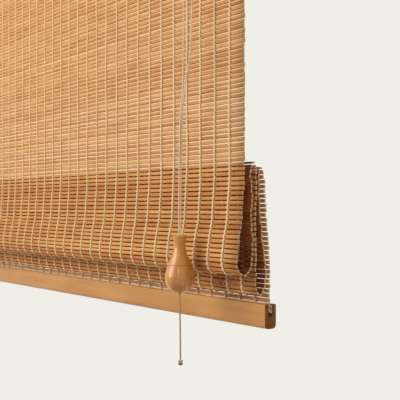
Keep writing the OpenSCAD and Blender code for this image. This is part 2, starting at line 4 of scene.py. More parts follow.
import bpy
import numpy as np
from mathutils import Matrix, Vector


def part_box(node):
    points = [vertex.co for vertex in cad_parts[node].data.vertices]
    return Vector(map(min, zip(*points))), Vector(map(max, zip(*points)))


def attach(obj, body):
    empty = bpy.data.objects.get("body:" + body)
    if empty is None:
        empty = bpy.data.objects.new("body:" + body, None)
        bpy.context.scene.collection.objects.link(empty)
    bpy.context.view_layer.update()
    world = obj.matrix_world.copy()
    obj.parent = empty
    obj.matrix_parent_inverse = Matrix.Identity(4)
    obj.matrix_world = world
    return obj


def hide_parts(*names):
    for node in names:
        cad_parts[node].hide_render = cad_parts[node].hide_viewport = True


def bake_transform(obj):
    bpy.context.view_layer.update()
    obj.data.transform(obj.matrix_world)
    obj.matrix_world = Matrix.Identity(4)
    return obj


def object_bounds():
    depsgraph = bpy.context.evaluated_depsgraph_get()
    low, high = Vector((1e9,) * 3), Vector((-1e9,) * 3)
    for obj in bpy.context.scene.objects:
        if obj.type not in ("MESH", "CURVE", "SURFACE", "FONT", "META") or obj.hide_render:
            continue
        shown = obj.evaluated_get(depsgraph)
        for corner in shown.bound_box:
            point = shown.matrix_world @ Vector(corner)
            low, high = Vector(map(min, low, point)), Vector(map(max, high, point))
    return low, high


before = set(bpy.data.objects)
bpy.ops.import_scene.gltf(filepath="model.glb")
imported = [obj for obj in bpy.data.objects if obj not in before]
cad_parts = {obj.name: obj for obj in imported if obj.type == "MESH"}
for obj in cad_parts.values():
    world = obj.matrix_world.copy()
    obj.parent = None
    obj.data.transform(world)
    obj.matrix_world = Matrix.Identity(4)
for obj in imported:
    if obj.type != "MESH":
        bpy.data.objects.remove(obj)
frame_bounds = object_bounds()
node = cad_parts
MM = 0.001
# Share of a unit direction along an axis above which it counts as lying on that axis
NEAR_AXIS = 0.9

# Driving sizes of the sheet, in metres. Slats are higher where it hangs flat and at its foot
BLIND_W = 700 * MM
SLAT_H = 3.5 * MM
HUNG_SLAT_H = 4.1 * MM
FOOT_SLAT_H = 3.8 * MM
SLAT_T = 1.8 * MM
SLAT_PITCH = 4.5 * MM
WARP_PITCH = 23.5 * MM
WARP_COUNT = 29
FRONT_DROP = 300 * MM
FRONT_LOOP = 103 * MM
REAR_LOOP = 122.2 * MM
LAST_DROP = 131 * MM
HEAD_RAIL_H = 40 * MM
SLOT_GRIP = 11 * MM
LAST_Y = 29.4 * MM
LAYER_STEP = 2.5 * MM
FOLD_SINK = 1.5 * MM
REAR_DRIFT = 5.58 * MM
FOOT_LENGTH = 20 * MM
FOLD_Z = -(HEAD_RAIL_H + FRONT_DROP)
HUNG_LENGTH = SLOT_GRIP + FRONT_DROP + SLAT_PITCH
# Share of a pitch added below the last slat, and lengths by which the front passes its loop's bottom
# and the return stops short of the top fold
FOOT_SPARE = 0.27
FRONT_PASS = 2.6 * SLAT_PITCH
RETURN_STOP = 0.5 * SLAT_PITCH

# Unevenness of the slats: least and most that their ends fall short, their tilt, how their height
# changes from slat to slat and along a slat, and how far they wander along the sheet and out of it
SLAT_END_SHORT = (-0.3 * MM, 1.3 * MM)
SLAT_TILT = math.radians(1.8)
HEIGHT_SPREAD = 0.02
HEIGHT_DRIFT = 0.012
SLAT_SAG = 0.06 * MM
SLAT_BOW = 0.05 * MM

# Threads. WARP_BEND is the number of slats between two bends of a warp line
STRAND_W = 3.3 * MM
STRAND_T = 1.5 * MM
STRAND_SWAY = 0.4 * MM
STRAND_REACH = SLAT_T / 2 + 0.45 * MM
STRAND_FLATNESS = 0.4
WARP_BEND = 8
WARP_DRIFT = 0.5 * MM

# Cords. CORD_CORE and STRAND_RISE are shares of a cord's radius
CORD_D = 1.6 * MM
PULL_CORD_D = 1.45 * MM
CORD_LAY = 5.5 * MM
CORD_CORE = 0.93
STRAND_RISE = 0.09
# Steps between two points of a route, and points of each bend round the gear
CORD_STEPS = 24
BEND_STEPS = 13
# Reach of each knot, and radius of its strand
TAIL_KNOT = (3.1 * MM, CORD_D * 0.52)
LIFT_KNOT = (2 * MM, 0.7 * MM)
TASSEL_KNOT = (4.3 * MM, 1 * MM)
# Places of the lift cords' rings and of the pull cords' tops
LIFT_X = 235 * MM
LIFT_Y = 16.2 * MM
# Each cord's side, drop of its wheel's axle, and x of its wheel and of its hole in the head rail
CORD_GEAR = [("left", 14 * MM, -227.9 * MM, 291 * MM), ("right", 28 * MM, 242.1 * MM, 307 * MM)]
WHEEL_PATH_R = 7.1 * MM
EYELET_BEND_R = 4 * MM
GUIDE_PATH_R = 6.3 * MM
GUIDE_Y = -20.2 * MM
CORD_HOLE_Z = -7.2 * MM
LEFT_PULL_ROUTE = [
    (291, -26.5, -13.5), (291, -26.5, -40), (290.8, -26.5, -100), (290.5, -26.5, -170),
    (290.2, -26.5, -230), (290, -26.5, -254), (288.8, -26.6, -268), (287, -26.9, -282),
    (285.6, -27.1, -300), (284.6, -27.2, -330), (283.8, -27.2, -370), (283.5, -27.2, -408),
    (283.5, -27.2, -449),
]
RIGHT_PULL_ROUTE = [
    (307, -26.5, -13.5), (307, -26.5, -40), (306.8, -26.5, -100), (305.6, -26.5, -160),
    (303.8, -26.5, -205), (301.6, -26.4, -234), (299, -26.2, -246), (295.4, -26, -256),
    (292, -25.6, -264), (289.6, -25.4, -274), (287.6, -25.5, -286), (286, -25.7, -304),
    (285.2, -25.8, -330), (284.6, -25.8, -370), (284.5, -25.8, -408), (284.5, -25.8, -449),
]
TAIL_ROUTE = [
    (284, -26.5, -458), (284, -26.5, -470), (284.4, -26.5, -490), (284.8, -26.4, -510),
    (284.8, -26.3, -526),
]

# Camera of the photograph: place, turn, the picture's width in points, focal length and rise of the
# frame in picture widths, and the sensor's width in millimetres
CAMERA_PLACE = (979.5 * MM, -490 * MM, -380.7 * MM)
CAMERA_AZIMUTH = 55
PHOTO_W = 400
FOCAL_WIDTHS = 877 / PHOTO_W
FRAME_RISE = 7 / PHOTO_W
SENSOR_W = 36

# Studio: half the floor's width, its drop below the blind, where its fade into the wall starts and
# ends, the room's own light, and the place that every lamp faces
FLOOR_HALF = 3
FLOOR_DROP = 0.9
FLOOR_FADE = (0.7, 1.5)
ROOM_LIGHT = 0.085
LAMP_TARGET = (0.2, 0, -0.35)


def srgb(red, green, blue):
    """A colour as a picture shows it, 0 to 255, in the linear form that shaders take."""
    parts = [c / 255 for c in (red, green, blue)]
    return tuple(c / 12.92 if c < 0.04045 else ((c + 0.055) / 1.055) ** 2.4 for c in parts) + (1,)


WALL_PALE = srgb(239, 238, 231)


# Shader expressions
class Wire:
    """A shader socket. Arithmetic on it adds Math nodes."""

    def __init__(self, graph, socket):
        self.graph = graph
        self.socket = socket

    def math(self, operation, *values):
        return self.graph.node("ShaderNodeMath", {"operation": operation}, dict(enumerate(values)))

    def __add__(self, other):
        return self.math("ADD", self, other)

    def __mul__(self, other):
        return self.math("MULTIPLY", self, other)

    __radd__ = __add__
    __rmul__ = __mul__


class Graph:
    """The node tree of one material, or of the world."""

    def __init__(self, tree):
        tree.nodes.clear()
        self.tree = tree

    def node(self, kind, settings, inputs, output=0):
        """A node of any kind, with its settings made first, then its sockets' values and links."""
        made = self.tree.nodes.new(kind)
        for name, value in settings.items():
            setattr(made, name, value)
        for name, value in inputs.items():
            if isinstance(value, Wire):
                self.tree.links.new(value.socket, made.inputs[name])
            else:
                made.inputs[name].default_value = value
        return Wire(self, made.outputs[output]) if made.outputs else None

    def place(self, scale=(1, 1, 1)):
        """Where a point lies on its piece, in metres times scale."""
        at = self.node("ShaderNodeTexCoord", {}, {}, "Object")
        return self.node("ShaderNodeVectorMath", {"operation": "MULTIPLY"}, {0: at, 1: scale})

    def noise(self, scale, detail, roughness=0.5):
        """Soft noise from 0 to 1, with that many grains to the metre along each axis."""
        inputs = {"Vector": self.place(scale), "Scale": 1, "Detail": detail, "Roughness": roughness}
        return self.node("ShaderNodeTexNoise", {}, inputs)

    def step(self, value, low, high):
        """0 below low, 1 above high, smooth between."""
        inputs = {"Value": value, "From Min": low, "From Max": high}
        return self.node("ShaderNodeMapRange", {"interpolation_type": "SMOOTHSTEP"}, inputs)

    def mix(self, share, first, second):
        """One colour turning into another as share goes from 0 to 1."""
        settings = {"data_type": "RGBA", "clamp_factor": True}
        return self.node("ShaderNodeMix", settings, {0: share, 6: first, 7: second}, output=2)

    def bump(self, height, depth, strength):
        """A normal that follows a height, at a depth in metres."""
        inputs = {"Height": height, "Distance": depth, "Strength": strength}
        return self.node("ShaderNodeBump", {}, inputs)

    def surface(self, inputs):
        """Closes the material with a surface that takes these values."""
        shader = self.node("ShaderNodeBsdfPrincipled", {}, inputs)
        self.node("ShaderNodeOutputMaterial", {}, {"Surface": shader})


def material(name):
    """A new material and its graph."""
    made = bpy.data.materials.new(name)
    made.use_nodes = True
    return made, Graph(made.node_tree)


# Finishes
def bamboo_face(name, shine, pale, warm, brown, dark):
    """Split bamboo: long fibres and a tone that drifts from slat to slat and along each slat."""
    made, g = material(name)
    tone = g.noise((1.3, 190, 190), detail=1)
    patch = g.noise((22, 150, 150), detail=2)
    fibre = g.noise((14, 2600, 2600), detail=3, roughness=0.6)
    colour = g.mix(g.step(tone, 0.3, 0.7), warm, pale)
    colour = g.mix(g.step(patch, 0.42, 0.75) * 0.6, colour, brown)
    colour = g.mix(g.step(fibre, 0.45, 0.75) * 0.35, colour, dark)
    g.surface({
        "Base Color": colour,
        "Roughness": 0.45 + 0.25 * fibre,
        "Specular IOR Level": shine,
        "Normal": g.bump(fibre, depth=0.12 * MM, strength=0.6),
    })
    return made


def bamboo_end_and_glow():
    """Sawn end of a slat: pale, partly as painted light that the thin ends catch, with dark vessel dots.
    """
    made, g = material("bamboo_end_and_glow")
    dots = g.noise((3000, 3000, 3000), detail=2)
    colour = g.mix(g.step(dots, 0.5, 0.72) * 0.55, srgb(248, 206, 160), srgb(208, 150, 104))
    g.surface({
        "Base Color": colour,
        "Roughness": 0.8,
        "Specular IOR Level": 0.02,
        "Normal": g.bump(dots, depth=0.1 * MM, strength=0.5),
    })
    return made


def spun_cotton(name, light, dark, shade):
    """Cotton yarn: pale fibres with darker dirt between them."""
    made, g = material(name)
    fibre = g.noise((2600, 2600, 1500), detail=3, roughness=0.6)
    drift = g.noise((60, 60, 25), detail=1)
    colour = g.mix(g.step(fibre, 0.3, 0.75), light, dark)
    colour = g.mix(g.step(drift, 0.45, 0.8) * 0.4, colour, shade)
    g.surface({
        "Base Color": colour,
        "Roughness": 0.85,
        "Sheen Weight": 0.15,
        "Normal": g.bump(fibre, depth=0.25 * MM, strength=0.8),
    })
    return made


def rail_face():
    """Varnished wood with its grain along the rail."""
    made, g = material("rail_face")
    figure = g.noise((2.2, 55, 55), detail=3, roughness=0.55)
    pores = g.noise((45, 1400, 1400), detail=2, roughness=0.6)
    blotch = g.noise((14, 14, 14), detail=2)
    colour = g.mix(g.step(figure, 0.3, 0.72), srgb(208, 152, 88), srgb(186, 126, 66))
    colour = g.mix(g.step(blotch, 0.4, 0.75) * 0.35, colour, srgb(218, 168, 104))
    colour = g.mix(g.step(pores, 0.55, 0.8) * 0.4, colour, srgb(150, 96, 50))
    g.surface({
        "Base Color": colour,
        "Roughness": 0.36 + 0.2 * pores,
        "Specular IOR Level": 0.3,
        "Coat Weight": 0.15,
        "Coat Roughness": 0.3,
        "Normal": g.bump(pores, depth=0.08 * MM, strength=0.5),
    })
    return made


def rail_end():
    """End grain of a rail: dark, open and dull."""
    made, g = material("rail_end")
    pores = g.noise((900, 900, 900), detail=3, roughness=0.6)
    rings = g.noise((60, 60, 260), detail=2)
    colour = g.mix(g.step(rings, 0.35, 0.7), srgb(174, 116, 75), srgb(140, 90, 56))
    colour = g.mix(g.step(pores, 0.5, 0.75) * 0.5, colour, srgb(92, 58, 32))
    g.surface({
        "Base Color": colour,
        "Roughness": 0.75,
        "Specular IOR Level": 0.15,
        "Normal": g.bump(pores, depth=0.2 * MM, strength=0.6),
    })
    return made


def tassel_face():
    """Turned and lacquered wood: fine grain up the tassel under a clear coat."""
    made, g = material("tassel_face")
    figure = g.noise((160, 160, 14), detail=3, roughness=0.55)
    pores = g.noise((1500, 1500, 90), detail=2)
    colour = g.mix(g.step(figure, 0.3, 0.7), srgb(230, 160, 78), srgb(204, 130, 54))
    colour = g.mix(g.step(pores, 0.55, 0.8) * 0.3, colour, srgb(140, 84, 34))
    g.surface({
        "Base Color": colour,
        "Roughness": 0.4 + 0.12 * figure,
        "Specular IOR Level": 0.25,
        "Coat Weight": 0.9,
        "Coat Roughness": 0.17,
        "Normal": g.bump(pores, depth=0.04 * MM, strength=0.4),
    })
    return made


def metal_face(name, bright, dull, rough):
    """Plated metal with fine rolling marks and slightly dulled patches."""
    made, g = material(name)
    marks = g.noise((90, 1800, 1800), detail=2)
    patch = g.noise((120, 120, 120), detail=3)
    g.surface({
        "Base Color": g.mix(g.step(patch, 0.35, 0.75), bright, dull),
        "Metallic": 1,
        "Roughness": rough + 0.2 * marks,
        "Normal": g.bump(marks, depth=0.03 * MM, strength=0.4),
    })
    return made


def nylon_face():
    """Moulded nylon, slightly cloudy."""
    made, g = material("nylon_face")
    flow = g.noise((350, 350, 350), detail=3)
    g.surface({
        "Base Color": g.mix(flow, srgb(236, 232, 222), srgb(216, 210, 196)),
        "Roughness": 0.4 + 0.15 * flow,
        "Normal": g.bump(flow, depth=0.04 * MM, strength=0.4),
    })
    return made


# Meshes from rings of points
def add_mesh(name, points, face_sets, materials):
    """A mesh object from points and (faces, material number) sets, each set with faces of one size.
    Quads are shaded smooth and end caps flat."""
    corners = np.concatenate([faces.ravel() for faces, _ in face_sets])
    sizes = np.concatenate([np.full(len(faces), faces.shape[1]) for faces, _ in face_sets])
    numbers = np.concatenate([np.full(len(faces), number) for faces, number in face_sets])
    mesh = bpy.data.meshes.new(name)
    mesh.vertices.add(len(points))
    mesh.vertices.foreach_set("co", np.asarray(points, np.float32).ravel())
    mesh.loops.add(len(corners))
    mesh.loops.foreach_set("vertex_index", corners.astype(np.int32))
    mesh.polygons.add(len(sizes))
    mesh.polygons.foreach_set("loop_start", (np.cumsum(sizes) - sizes).astype(np.int32))
    mesh.polygons.foreach_set("material_index", numbers.astype(np.int32))
    mesh.polygons.foreach_set("use_smooth", sizes == 4)
    mesh.update(calc_edges=True)
    for finish in materials:
        mesh.materials.append(finish)
    made = bpy.data.objects.new(name, mesh)
    bpy.context.scene.collection.objects.link(made)
    return made


def ring_faces(bars, rings, sides, closed=False):
    """Wall quads and end caps of bars, each a row of rings with that many sides."""
    first = np.arange(bars)[:, None, None] * rings * sides
    last = rings if closed else rings - 1
    ring = np.arange(last)[None, :, None]
    side = np.arange(sides)[None, None, :]
    above = (ring + 1) % rings
    turn = (side + 1) % sides
    corners = [first + ring * sides + side, first + ring * sides + turn,
               first + above * sides + turn, first + above * sides + side]
    walls = np.stack(np.broadcast_arrays(*corners), -1).reshape(-1, 4)
    start = first[:, 0] + np.arange(sides)[None, ::-1]
    end = first[:, 0] + (rings - 1) * sides + np.arange(sides)[None, :]
    return walls, np.concatenate([start, end])


def unit(vectors):
    """Vectors brought to a length of 1."""
    return vectors / np.linalg.norm(vectors, axis=-1, keepdims=True)


def spline(points, steps):
    """Points on a smooth curve through the given points."""
    points = np.asarray(points, float)
    before = np.vstack([points[:1], points[:-2]])
    after = np.vstack([points[2:], points[-1:]])
    t = (np.arange(steps) / steps)[None, :, None]
    a, b, c, d = (p[:, None] for p in (before, points[:-1], points[1:], after))
    curve = 0.5 * (2 * b + (c - a) * t + (2 * a - 5 * b + 4 * c - d) * t**2
                   + (3 * b - a - 3 * c + d) * t**3)
    return np.vstack([curve.reshape(-1, points.shape[1]), points[-1:]])


def lengths(curve):
    """Length along a curve at each of its points."""
    return np.concatenate([[0], np.cumsum(np.linalg.norm(np.diff(curve, axis=0), axis=1))])


def along(curve, runs):
    """Points of a curve at given lengths along it."""
    run = lengths(curve)
    return np.stack([np.interp(runs, run, axis) for axis in curve.T], -1)


# Cords
def turning_free_sides(centres):
    """Two directions across each point of a route, which don't twist along it."""
    way = unit(np.gradient(centres, axis=0))
    side = np.array([0, 1, 0]) if abs(way[0][1]) < NEAR_AXIS else np.array([1, 0, 0])
    sides = []
    for direction in way:
        side = unit(side - direction * np.dot(side, direction))
        sides.append(side)
    sides = np.array(sides)
    return sides, np.cross(way, sides)


def laid_cord(name, curve, finish, diameter=CORD_D, strands=3, sides=12, ring_step=0.7 * MM):
    """A cord of twisted strands along a curve. Gives the piece and its centre line."""
    length = lengths(curve)[-1]
    runs = np.linspace(0, length, int(length / ring_step) + 2)
    centres = along(curve, runs)
    across, over = turning_free_sides(centres)
    angle = 2 * math.pi * np.arange(sides) / sides
    lobes = np.cos(strands * (angle[None] - 2 * math.pi * runs[:, None] / CORD_LAY))
    radius = (diameter / 2 * (CORD_CORE + STRAND_RISE * lobes))[..., None]
    points = centres[:, None] + radius * (
        across[:, None] * np.cos(angle)[None, :, None] + over[:, None] * np.sin(angle)[None, :, None])
    walls, caps = ring_faces(1, len(runs), sides)
    made = add_mesh(name, points.reshape(-1, 3), [(walls, 0), (caps, 0)], [finish])
    return made, centres


def cord_route(points):
    """A smooth curve through the points of a free cord, given in millimetres."""
    return spline(np.array(points) * MM, CORD_STEPS)


def head_route(drop, wheel_x, hole_x):
    """Curve of a cord over its wheel, along the head rail, through its eyelet and over the guide bar."""
    end_x = hole_x - EYELET_BEND_R
    rise = math.atan2(CORD_HOLE_Z + drop - WHEEL_PATH_R, end_x - wheel_x)
    over_wheel = np.linspace(0, math.pi / 2 - rise, BEND_STEPS)
    quarter = np.linspace(0, math.pi / 2, BEND_STEPS)
    rear = np.full(BEND_STEPS, LIFT_Y)
    level = np.full(BEND_STEPS, CORD_HOLE_Z)
    wheel = [wheel_x - WHEEL_PATH_R * np.cos(over_wheel), rear, WHEEL_PATH_R * np.sin(over_wheel) - drop]
    eyelet = [end_x + EYELET_BEND_R * np.sin(quarter), rear - EYELET_BEND_R * (1 - np.cos(quarter)), level]
    guide = [np.full(BEND_STEPS, hole_x), GUIDE_Y - GUIDE_PATH_R * np.sin(quarter),
             level - GUIDE_PATH_R * (1 - np.cos(quarter))]
    return np.hstack([wheel, eyelet, guide]).T


def tied_knot(name, places, reach, strand_r, finish, rings=72, sides=10):
    """Tight overhand knots, one at each place, that fill a ball of that reach. Their line is a trefoil,
    whose formula reaches 3 from its middle."""
    t = 2 * math.pi * np.arange(rings) / rings
    trefoil = [np.sin(t) + 2 * np.sin(2 * t), -1.5 * np.sin(3 * t), np.cos(t) - 2 * np.cos(2 * t)]
    line = np.stack(trefoil, -1) * (reach - strand_r) / 3
    way = unit(np.roll(line, -1, 0) - np.roll(line, 1, 0))
    # A small lift keeps the cross product from vanishing
    across = unit(np.cross(way, line + [0, 0, reach / 50]))
    over = np.cross(way, across)
    angle = 2 * math.pi * np.arange(sides) / sides
    ring = across[:, None] * np.cos(angle)[None, :, None] + over[:, None] * np.sin(angle)[None, :, None]
    knot = (line[:, None] + strand_r * ring).reshape(-1, 3)
    points = np.concatenate([knot + np.asarray(place) for place in places])
    walls, _ = ring_faces(len(places), rings, sides, closed=True)
    made = add_mesh(name, points, [(walls, 0)], [finish])
    return made


# Folded section of the sheet, as (y in millimetres, share of the drop below the top folds)
FRONT_SHAPE = [
    (0, 0), (-0.6, 0.2), (-1.8, 0.36), (-3.2, 0.54), (-6, 0.67), (-8.2, 0.83), (-8.4, 0.9),
    (-5.6, 0.972), (0.4, 1), (6, 0.97), (8.8, 0.92), (9.8, 0.85), (10.3, 0.74), (9.9, 0.65),
    (8.8, 0.57), (8.2, 0.48), (9.2, 0.37), (9, 0.24), (7.8, 0.13), (8.3, 0.05), (11, 0),
]
REAR_SHAPE = [
    (13.8, 0.05), (14.1, 0.16), (13.7, 0.31), (13.3, 0.45), (13.3, 0.65), (13.7, 0.8),
    (13.4, 0.9), (14.8, 0.968), (18.8, 1), (22.8, 0.966), (24.8, 0.9), (25.3, 0.8),
    (23.6, 0.72), (22, 0.62), (20.6, 0.52), (18.8, 0.38), (17.6, 0.27), (17.3, 0.16),
    (17.2, 0.08), (19.6, 0.04),
]
LAST_SHAPE = [
    (22.6, 0.09), (24.4, 0.22), (25.5, 0.35), (26.6, 0.48), (28.2, 0.6), (29.2, 0.7),
    (29.4, 0.85), (29.4, 1),
]
# Number of the front loop's lowest point, share of the flat front that is straight, its steps, and
# steps between two points of the section
FRONT_BOTTOM = 8
FLAT_SHARE = 0.9
FLAT_STEPS = 9
PATH_STEPS = 8


def sheet_section():
    """Smooth section of the whole sheet, and the lengths along it of its folds."""
    flat = [(0, SLOT_GRIP - HEAD_RAIL_H)]
    flat += [(0, -HEAD_RAIL_H - FLAT_SHARE * FRONT_DROP * i / FLAT_STEPS)
             for i in range(FLAT_STEPS + 1)]
    path = list(flat)
    for shape, drop in ((FRONT_SHAPE, FRONT_LOOP), (REAR_SHAPE, REAR_LOOP), (LAST_SHAPE, LAST_DROP)):
        path += [(y * MM, FOLD_Z - share * drop) for y, share in shape]
    path.append((LAST_Y, FOLD_Z - LAST_DROP - SLOT_GRIP))
    curve = spline(path, PATH_STEPS)
    run = lengths(curve)
    bottom = run[(len(flat) + FRONT_BOTTOM) * PATH_STEPS]
    front_fold = run[(len(flat) + len(FRONT_SHAPE) - 1) * PATH_STEPS]
    rear_fold = run[(len(flat) + len(FRONT_SHAPE) + len(REAR_SHAPE) - 1) * PATH_STEPS]
    return curve, bottom, front_fold, rear_fold, run[-1]


SHEET, LOOP_RUN, FRONT_FOLD_RUN, REAR_FOLD_RUN, END_RUN = sheet_section()


def slat_runs():
    """Lengths along the sheet at its slats, with one on each fold. The rear loop's slats drift a
    little, so that their gaps lie behind slats of the other layers."""
    front = round(FRONT_FOLD_RUN / SLAT_PITCH)
    rear = round((REAR_FOLD_RUN - FRONT_FOLD_RUN) / SLAT_PITCH)
    last = round((END_RUN - REAR_FOLD_RUN) / SLAT_PITCH)
    share = np.arange(rear) / rear
    drift = REAR_DRIFT * np.sin(math.pi * share)
    return np.concatenate([
        (np.arange(front) + 0.5) * FRONT_FOLD_RUN / (front + 0.5),
        FRONT_FOLD_RUN + share * (REAR_FOLD_RUN - FRONT_FOLD_RUN) + drift,
        REAR_FOLD_RUN + np.arange(last) * (END_RUN - REAR_FOLD_RUN) / (last + FOOT_SPARE),
    ])


def sheet_ways(runs):
    """Direction along the sheet and direction out of its front, at given lengths."""
    way = unit(along(SHEET, runs + SLAT_H / 2) - along(SHEET, runs - SLAT_H / 2))
    return way, np.stack([way[:, 1], -way[:, 0]], -1)


WARP_X = (np.arange(WARP_COUNT) - (WARP_COUNT - 1) / 2) * WARP_PITCH
# A slat's section as (share of its height, share of its thickness), with a crowned front, and the
# finish of the side that starts at each of its points. Every slat's upper side takes the rear finish as
# painted shade in the gap, and its lower side a pale painted glow of light from behind. Slats that hang
# flat and those at the foot have a pale painted highlight on their upper front edge and painted shade
# on their lower front edge, and the front of slats in the folds is a warmer copy of the front finish,
# as painted warm shade
SLAT_SECTION = np.array([
    (-0.5, -0.42), (-0.5, 0.2), (-0.45, 0.35), (-0.31, 0.445), (-0.2, 0.48), (0, 0.5), (0.25, 0.47),
    (0.44, 0.36), (0.5, 0.2), (0.5, -0.42), (0.46, -0.5), (-0.46, -0.5),
])
FRONT, REAR_AND_SHADE, PAINTED_GLOW, END_AND_GLOW, FOLD_WARM_SHADE = range(5)
SLAT_FINISH = np.array([REAR_AND_SHADE] + [FOLD_WARM_SHADE] * 7 + [PAINTED_GLOW] + [REAR_AND_SHADE] * 3)
HUNG_SLAT_FINISH = np.array([REAR_AND_SHADE] + [PAINTED_GLOW] * 2 + [FRONT] * 4 + [REAR_AND_SHADE, PAINTED_GLOW] + [REAR_AND_SHADE] * 3)
# Weights that smooth random steps and keep their spread at about 1
DRIFT_WEIGHTS = np.array([1, 2, 3, 2, 1]) / 4.36


def wander(rng, bars, stations, size):
    """Slow random drift along each bar."""
    steps = rng.normal(0, 1, (bars, stations + len(DRIFT_WEIGHTS) - 1))
    return size * np.array([np.convolve(row, DRIFT_WEIGHTS, "valid") for row in steps])


def add_slats(name, centres, ways, outs, heights, finishes, seed):
    """Bamboo slats across the blind, each a little uneven in height, tilt, straightness and ends."""
    rng = np.random.default_rng(seed)
    count = len(centres)
    between = (WARP_X[:-1] + WARP_X[1:]) / 2
    inner = np.sort(np.concatenate([WARP_X, between]))
    ends = BLIND_W / 2 - rng.uniform(*SLAT_END_SHORT, (2, count))
    x = np.hstack([-ends[0][:, None], np.tile(inner, (count, 1)), ends[1][:, None]])
    stations = x.shape[1]
    tilt = rng.normal(0, SLAT_TILT, count)[:, None, None]
    share = 1 + rng.normal(0, HEIGHT_SPREAD, (count, 1)) + wander(rng, count, stations, HEIGHT_DRIFT)
    height = heights[:, None] * share
    u = SLAT_SECTION[:, 0] * height[..., None]
    v = np.broadcast_to(SLAT_SECTION[:, 1] * SLAT_T, u.shape)
    u, v = u * np.cos(tilt) - v * np.sin(tilt), u * np.sin(tilt) + v * np.cos(tilt)
    u = u + wander(rng, count, stations, SLAT_SAG)[..., None]
    v = v + wander(rng, count, stations, SLAT_BOW)[..., None]
    along_sheet = u[..., None] * ways[:, None, None]
    out_of_sheet = v[..., None] * outs[:, None, None]
    section = centres[:, None, None] + along_sheet + out_of_sheet
    points = np.concatenate([np.broadcast_to(x[:, :, None, None], u.shape + (1,)), section], -1)
    walls, caps = ring_faces(count, stations, len(SLAT_SECTION))
    finish = np.where(heights[:, None] > SLAT_H, HUNG_SLAT_FINISH, SLAT_FINISH)
    finish = np.repeat(finish, stations - 1, axis=0).ravel()
    face_sets = [(walls[finish == number], number) for number in (FRONT, REAR_AND_SHADE, PAINTED_GLOW, FOLD_WARM_SHADE)]
    face_sets.append((caps, END_AND_GLOW))
    made = add_mesh(name, points.reshape(-1, 3), face_sets, finishes)
    return made


def folded_end(y, z, way):
    """Centres of the two slats of the sheet's end, folded back inside a rail's slot."""
    return np.array([(y + LAYER_STEP, z + way * i * SLAT_PITCH) for i in (0, 1)])


def add_stretch(name, runs, finishes, seed, extra=None):
    """The slats of one stretch of the sheet, with any folded end."""
    centres = along(SHEET, runs)
    ways, outs = sheet_ways(runs)
    heights = np.where(runs < HUNG_LENGTH, HUNG_SLAT_H, SLAT_H)
    heights = np.where(runs > END_RUN - FOOT_LENGTH, FOOT_SLAT_H, heights)
    if extra is not None:
        centres = np.vstack([centres, extra])
        ways = np.vstack([ways, [(0, -1)] * len(extra)])
        outs = np.vstack([outs, [(-1, 0)] * len(extra)])
        heights = np.append(heights, [SLAT_H] * len(extra))
    return add_slats(name, centres, ways, outs, heights, finishes, seed)


def add_warps(name, runs, warps, finish, seed, rings=4, sides=5):
    """Pairs of strands that twine round each slat in turn, one pair on each warp line."""
    rng = np.random.default_rng(seed)
    place = (np.arange(len(runs) * rings) + 0.5) / rings - 0.5
    ways, outs = sheet_ways(np.interp(place, np.arange(len(runs)), runs))
    middle = along(SHEET, np.interp(place, np.arange(len(runs)), runs))
    bars = []
    bends = np.arange(0, len(runs) + WARP_BEND, WARP_BEND)
    for x in warps:
        drift = np.interp(place, bends, rng.normal(0, WARP_DRIFT, len(bends)))
        for start in (0, math.pi):
            angle = math.pi * place + start
            swing = np.cos(angle)
            lift = STRAND_REACH * np.sign(swing) * np.abs(swing) ** STRAND_FLATNESS
            line = middle + lift[:, None] * outs
            bars.append(np.column_stack([x + drift + STRAND_SWAY * np.sin(angle), line]))
    bars = np.array(bars)
    tangent = unit(np.gradient(bars, axis=1))
    across = unit(np.cross(tangent, [1, 0, 0]))
    over = np.cross(tangent, across)
    turn = 2 * math.pi * np.arange(sides) / sides
    points = bars[:, :, None] + (
        STRAND_T / 2 * across[:, :, None] * np.cos(turn)[:, None]
        + STRAND_W / 2 * over[:, :, None] * np.sin(turn)[:, None])
    walls, caps = ring_faces(len(bars), len(place), sides)
    made = add_mesh(name, points.reshape(-1, 3), [(walls, 0), (caps, 0)], [finish])
    return made


# Camera and light
def add_camera():
    """The photograph's camera, level and turned towards the blind."""
    lens = bpy.data.cameras.new("camera")
    lens.sensor_width = SENSOR_W
    lens.lens = SENSOR_W * FOCAL_WIDTHS
    lens.shift_y = FRAME_RISE
    camera = bpy.data.objects.new("camera", lens)
    camera.location = CAMERA_PLACE
    camera.rotation_euler = (math.radians(90), 0, math.radians(CAMERA_AZIMUTH))
    bpy.context.scene.collection.objects.link(camera)
    bpy.context.scene.camera = camera


def add_lamp(name, place, size, watts, colour, mirrored=True):
    """A soft square lamp that faces the blind, and that glossy surfaces mirror or don't."""
    light = bpy.data.lights.new(name, "AREA")
    light.size = size
    light.energy = watts
    light.color = colour
    lamp = bpy.data.objects.new(name, light)
    lamp.location = place
    aim = np.subtract(LAMP_TARGET, place)
    turn = math.atan2(aim[1], aim[0]) - math.pi / 2
    rise = math.atan2(aim[2], math.hypot(aim[0], aim[1]))
    lamp.rotation_euler = (math.pi / 2 + rise, 0, turn)
    lamp.visible_glossy = mirrored
    bpy.context.scene.collection.objects.link(lamp)


def seen_directly(g):
    """1 for rays from the camera, from mirrors and through glass, else 0."""
    kinds = ("Is Camera Ray", "Is Glossy Ray", "Is Transmission Ray")
    camera, mirror, glass = (g.node("ShaderNodeLightPath", {}, {}, kind) for kind in kinds)
    return g.step(camera + mirror + glass, 0, 1)


def add_world():
    """A pale wall to look at, and a dim room for light."""
    world = bpy.data.worlds.new("studio")
    world.use_nodes = True
    bpy.context.scene.world = world
    g = Graph(world.node_tree)
    room = g.node("ShaderNodeBackground", {}, {"Color": srgb(252, 241, 226), "Strength": ROOM_LIGHT})
    wall = g.node("ShaderNodeBackground", {}, {"Color": WALL_PALE, "Strength": 1})
    both = g.node("ShaderNodeMixShader", {}, {0: seen_directly(g), 1: room, 2: wall})
    g.node("ShaderNodeOutputWorld", {}, {"Surface": both})


